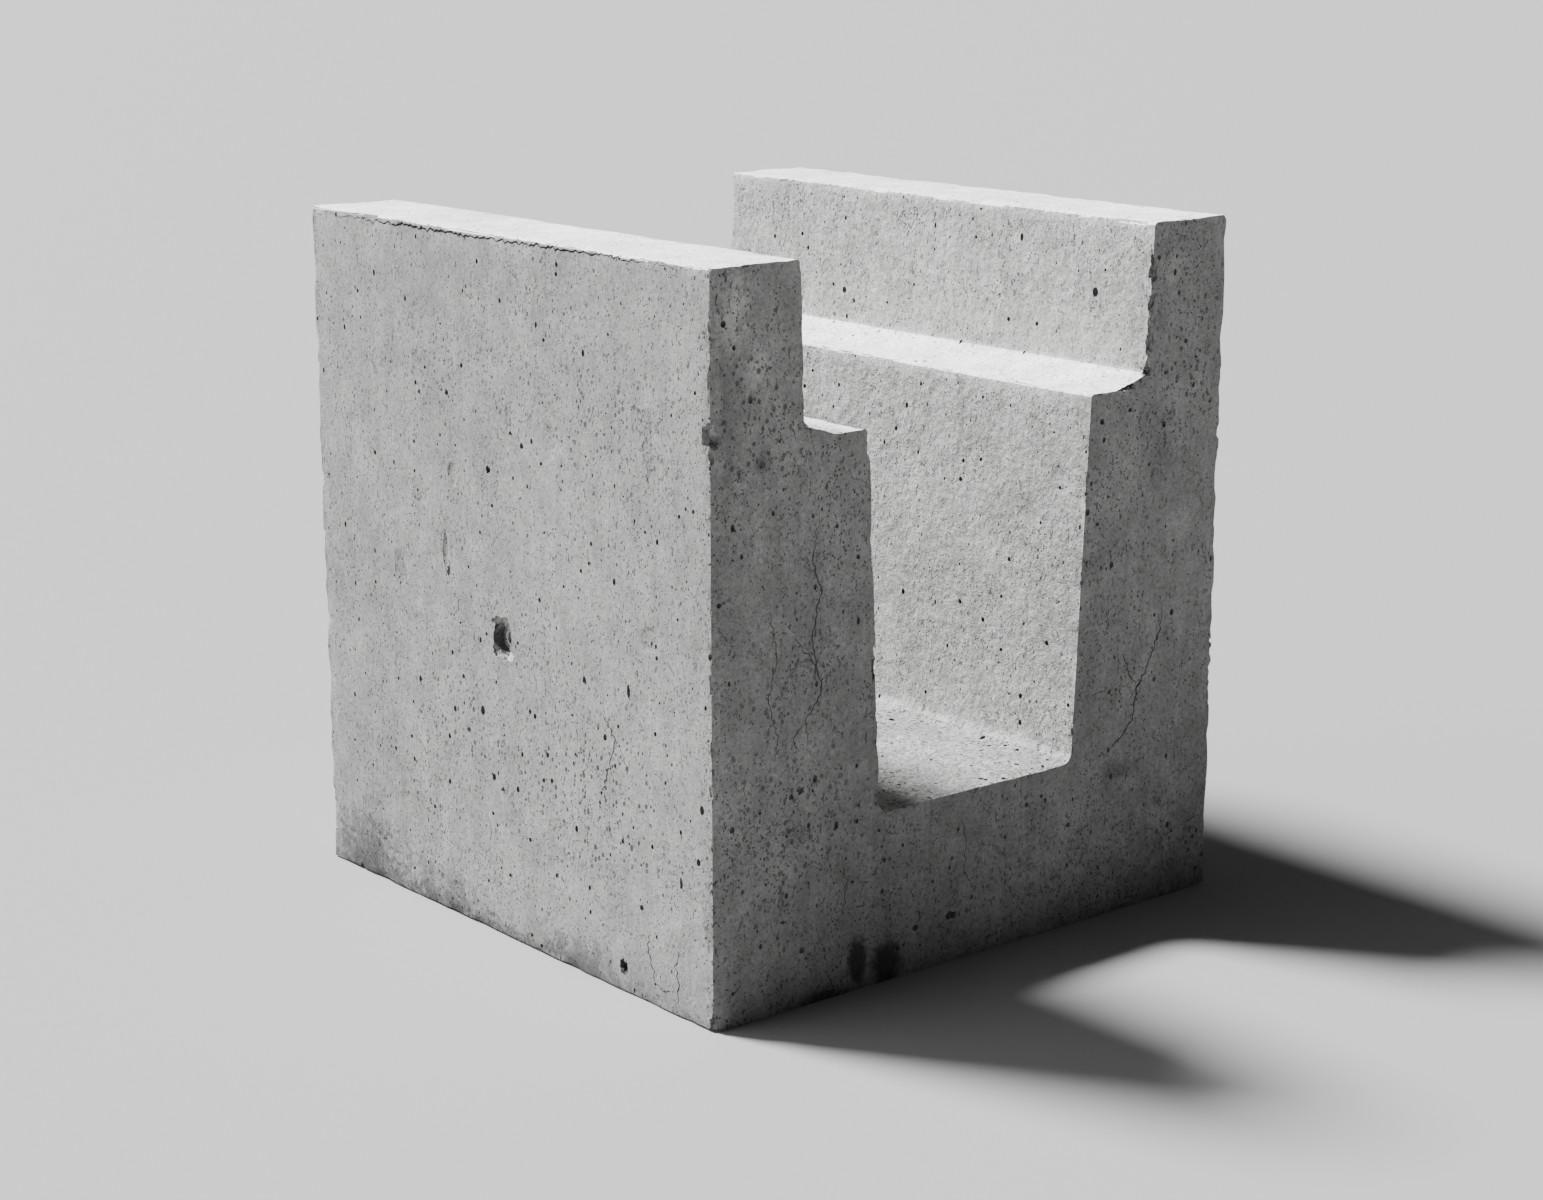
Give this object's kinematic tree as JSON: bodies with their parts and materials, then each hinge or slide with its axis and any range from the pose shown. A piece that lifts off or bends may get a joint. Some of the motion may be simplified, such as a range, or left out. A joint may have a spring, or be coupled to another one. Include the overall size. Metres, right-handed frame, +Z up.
{
  "type": "precast concrete channel block",
  "caption": "Near-cubic precast concrete channel block: a U-shaped trough whose walls are rebated to carry a cover, with a reinforcement cage and cast-in lifting sockets.",
  "frame": {"origin": "centre of the underside, on the ground", "axes": "+Z up; X across the two walls, with the wall named left at -X; Y along the channel, with the end that faces the viewer at -Y"},
  "size_m": [0.6, 0.6, 0.64],
  "materials": {
    "concrete": "weathered cast concrete",
    "chair_mortar": "fibre mortar",
    "reinforcing_steel": "mill scale with light rust",
    "tie_wire": "black annealed wire",
    "spacer_plastic": "moulded",
    "socket_steel": "zinc plated"
  },
  "bodies": {
    "root": {"bottom_bar_1": "reinforcing_steel", "bottom_bar_2": "reinforcing_steel", "bottom_bar_3": "reinforcing_steel", "channel_link_1": "reinforcing_steel", "channel_link_2": "reinforcing_steel", "channel_link_3": "reinforcing_steel", "channel_link_4": "reinforcing_steel", "concrete_body": "concrete", "floor_bar_1": "reinforcing_steel", "floor_bar_2": "reinforcing_steel", "floor_bar_3": "reinforcing_steel", "left_anchor_bar": "reinforcing_steel", "left_base_chair_1": "chair_mortar", "left_base_chair_2": "chair_mortar", "left_channel_bar_1": "reinforcing_steel", "left_channel_bar_2": "reinforcing_steel", "left_corner_bar": "reinforcing_steel", "left_crown_bar": "reinforcing_steel", "left_hairpin_1": "reinforcing_steel", "left_hairpin_2": "reinforcing_steel", "left_hairpin_3": "reinforcing_steel", "left_hairpin_4": "reinforcing_steel", "left_lifting_socket": "socket_steel", "left_root_bar": "reinforcing_steel", "left_seat_bar": "reinforcing_steel", "left_wall_bar_1": "reinforcing_steel", "left_wall_bar_2": "reinforcing_steel", "left_wall_bar_3": "reinforcing_steel", "left_wheel_spacer_1": "spacer_plastic", "left_wheel_spacer_2": "spacer_plastic", "outer_link_1": "reinforcing_steel", "outer_link_2": "reinforcing_steel", "outer_link_3": "reinforcing_steel", "outer_link_4": "reinforcing_steel", "right_anchor_bar": "reinforcing_steel", "right_base_chair_1": "chair_mortar", "right_base_chair_2": "chair_mortar", "right_channel_bar_1": "reinforcing_steel", "right_channel_bar_2": "reinforcing_steel", "right_corner_bar": "reinforcing_steel", "right_crown_bar": "reinforcing_steel", "right_hairpin_1": "reinforcing_steel", "right_hairpin_2": "reinforcing_steel", "right_hairpin_3": "reinforcing_steel", "right_hairpin_4": "reinforcing_steel", "right_lifting_socket": "socket_steel", "right_root_bar": "reinforcing_steel", "right_seat_bar": "reinforcing_steel", "right_wall_bar_1": "reinforcing_steel", "right_wall_bar_2": "reinforcing_steel", "right_wall_bar_3": "reinforcing_steel", "right_wheel_spacer_1": "spacer_plastic", "right_wheel_spacer_2": "spacer_plastic", "tie_set_1": "tie_wire", "tie_set_2": "tie_wire", "tie_set_3": "tie_wire", "tie_set_4": "tie_wire"}
  },
  "joints": []
}
